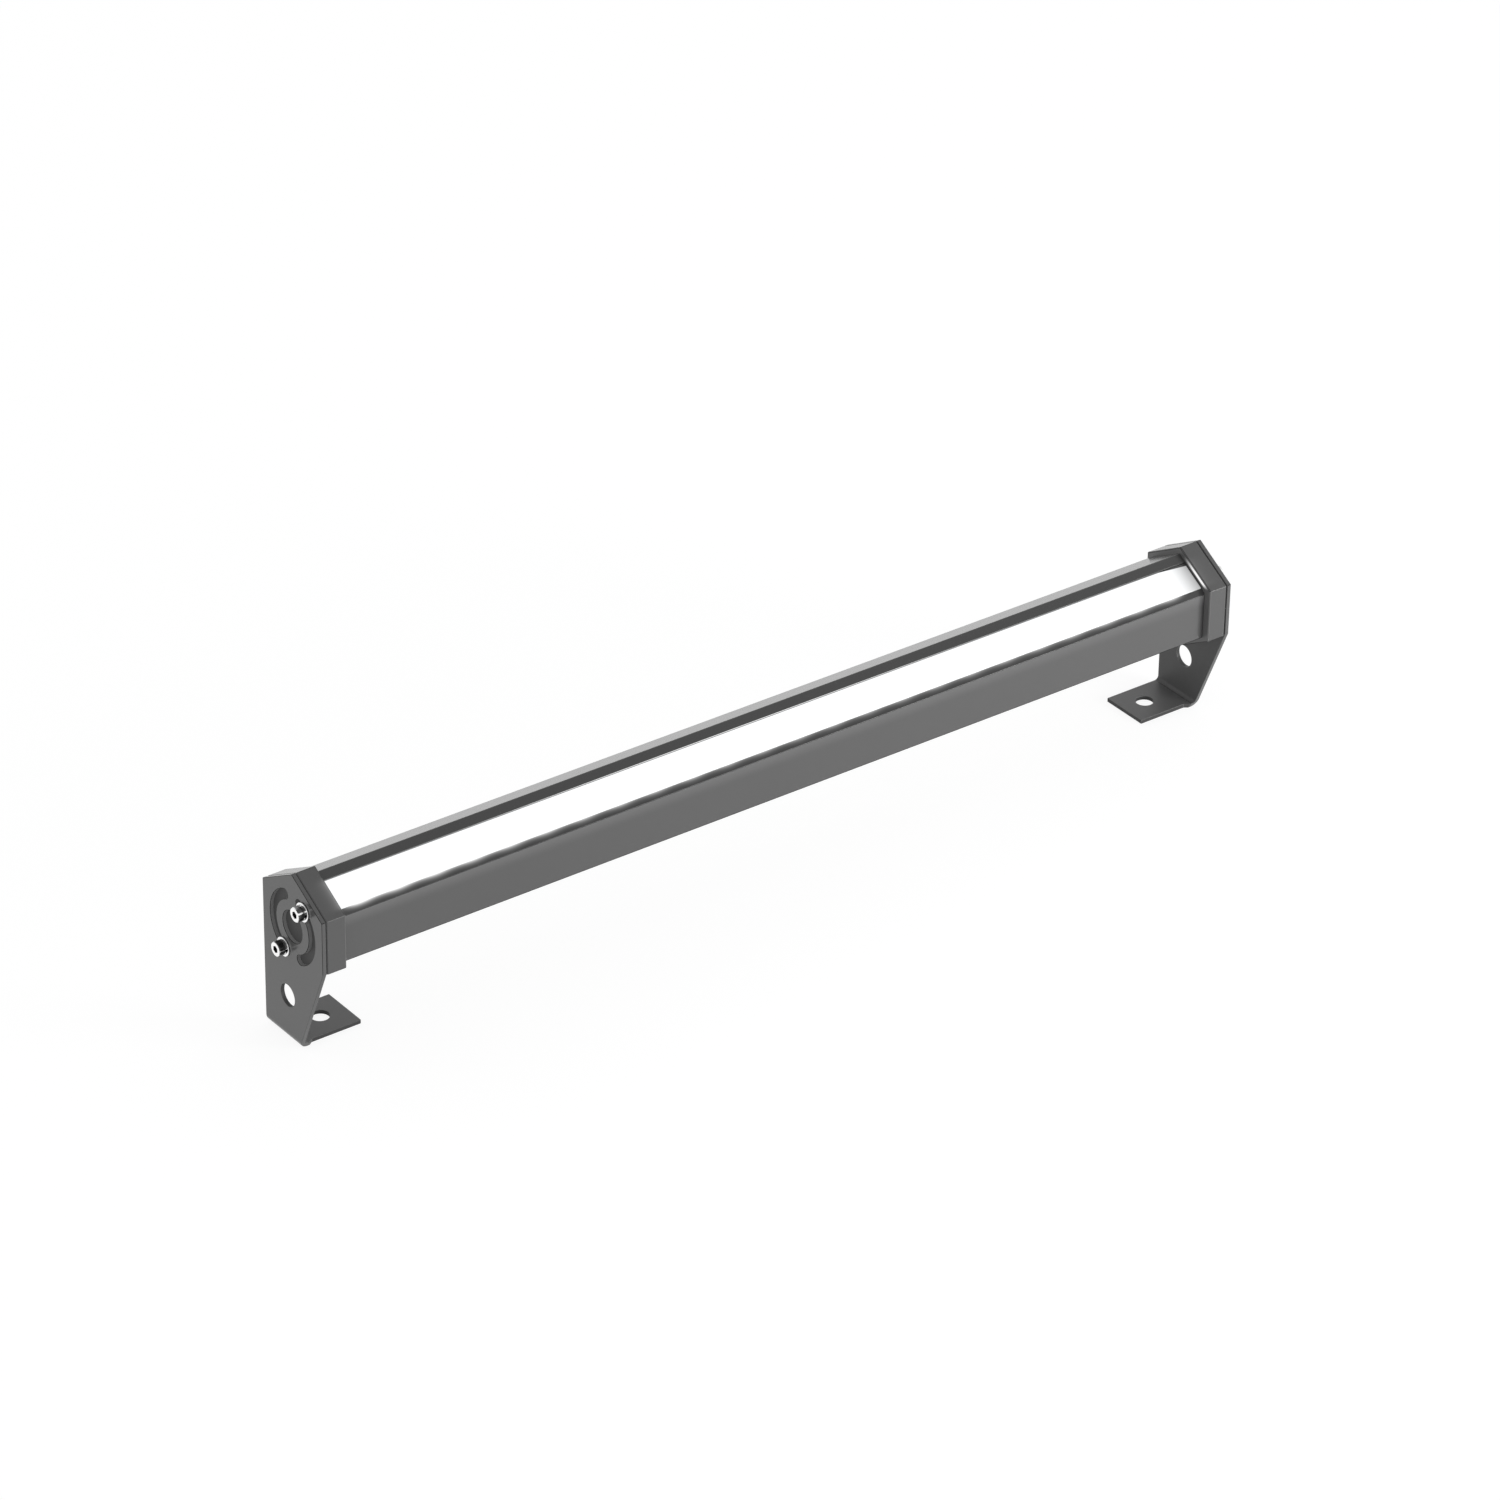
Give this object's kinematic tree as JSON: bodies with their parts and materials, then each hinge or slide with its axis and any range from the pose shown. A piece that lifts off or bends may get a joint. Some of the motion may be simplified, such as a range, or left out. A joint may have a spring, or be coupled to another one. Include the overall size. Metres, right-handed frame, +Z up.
{
  "type": "linear wall washer light",
  "caption": "Linear LED wall washer: a hexagonal bar with a lit glass window and closed ends, tilting between two slotted sheet brackets with bolt-down feet.",
  "frame": {"origin": "on the mounting surface, midway between the brackets, under the tilt axis", "axes": "+Z up from the mounting surface, X along the light and the tilt axis, -Y towards the lit side"},
  "size_m": [0.5092, 0.0456, 0.0866],
  "materials": {
    "bracket_coat": "satin powder coat on 2 mm sheet",
    "housing_coat": "satin powder coat on extruded aluminium",
    "cap_coat": "satin powder coat on cast aluminium",
    "cover_glass": "clear toughened glass, lit white",
    "sealant": "black silicone",
    "lens_acrylic": "clear acrylic",
    "led_phosphor": "phosphor under silicone",
    "led_board_mask": "white solder mask on aluminium board",
    "thermal_pad": "filled silicone",
    "driver_board_mask": "green solder mask on glass epoxy",
    "terminal_plastic": "moulded polyamide",
    "capacitor_can": "sleeved aluminium can",
    "ferrite": "ferrite core and wound coil",
    "chip_black": "moulded epoxy",
    "lead_insulation": "insulated wire",
    "gland_plastic": "black polyamide",
    "rubber_black": "matt rubber",
    "stainless": "stainless steel",
    "screw_chrome": "bright stainless steel",
    "disc_plastic": "black nylon"
  },
  "bodies": {
    "brackets": {"left_bracket": "bracket_coat", "right_bracket": "bracket_coat"},
    "luminaire": {"housing_profile": "housing_coat", "glass_cover": "cover_glass", "glass_seal": "sealant", "lens_bars": "lens_acrylic", "led_chips": "led_phosphor", "led_board": "led_board_mask", "thermal_pad": "thermal_pad", "board_screws": "stainless", "driver_board": "driver_board_mask", "terminal_block": "terminal_plastic", "capacitors": "capacitor_can", "inductor": "ferrite", "driver_chips": "chip_black", "led_leads": "lead_insulation", "gland_body": "gland_plastic", "gland_seal": "rubber_black", "gland_nut": "gland_plastic", "gland_o_ring": "rubber_black", "left_end_cap": "cap_coat", "left_cap_gasket": "rubber_black", "left_cap_screws": "stainless", "left_tilt_screws": "screw_chrome", "left_spring_washers": "screw_chrome", "left_flat_washers": "screw_chrome", "left_friction_discs": "disc_plastic", "right_end_cap": "cap_coat", "right_cap_gasket": "rubber_black", "right_cap_screws": "stainless", "right_tilt_screws": "screw_chrome", "right_spring_washers": "screw_chrome", "right_flat_washers": "screw_chrome", "right_friction_discs": "disc_plastic"}
  },
  "joints": [
    {"name": "tilt", "type": "hinge", "parent": "brackets", "child": "luminaire", "pos_m": [0, 0, 0.0603], "axis": [1, 0, 0], "range_deg": [-6, 122.5]}
  ]
}
